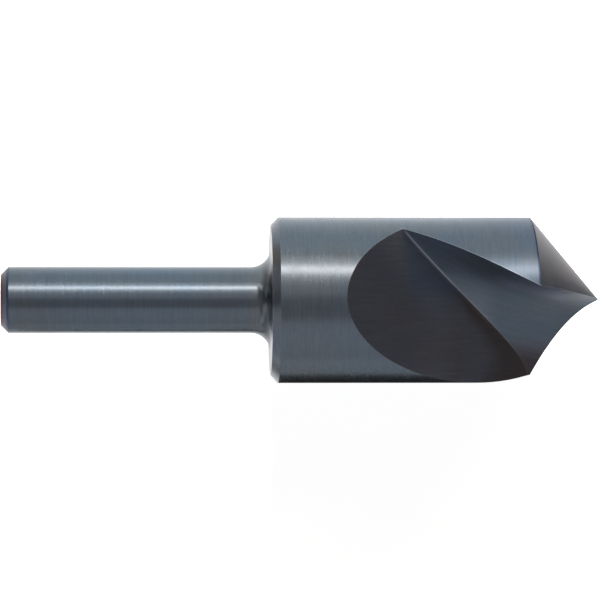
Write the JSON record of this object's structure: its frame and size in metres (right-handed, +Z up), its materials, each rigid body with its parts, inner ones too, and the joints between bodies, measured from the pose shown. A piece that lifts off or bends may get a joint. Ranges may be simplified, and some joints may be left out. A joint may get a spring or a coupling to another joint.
{
  "type": "single-flute countersink",
  "caption": "Single-flute countersink with a 100 degree point, a stout round body and a thinner straight shank, in dark blue-grey tool steel.",
  "frame": {"origin": "centre of the flat end of the shank", "axes": "+X along the tool's axis from the shank towards the point; +Z up, with the tool lying on the round of its body and the flute upwards"},
  "size_m": [0.0572, 0.0158, 0.0158],
  "materials": {
    "blued_steel": "satin, dark blue-grey steam-tempered surface over fine ring-shaped grinding lines"
  },
  "bodies": {
    "root": {"countersink": "blued_steel"}
  },
  "joints": []
}
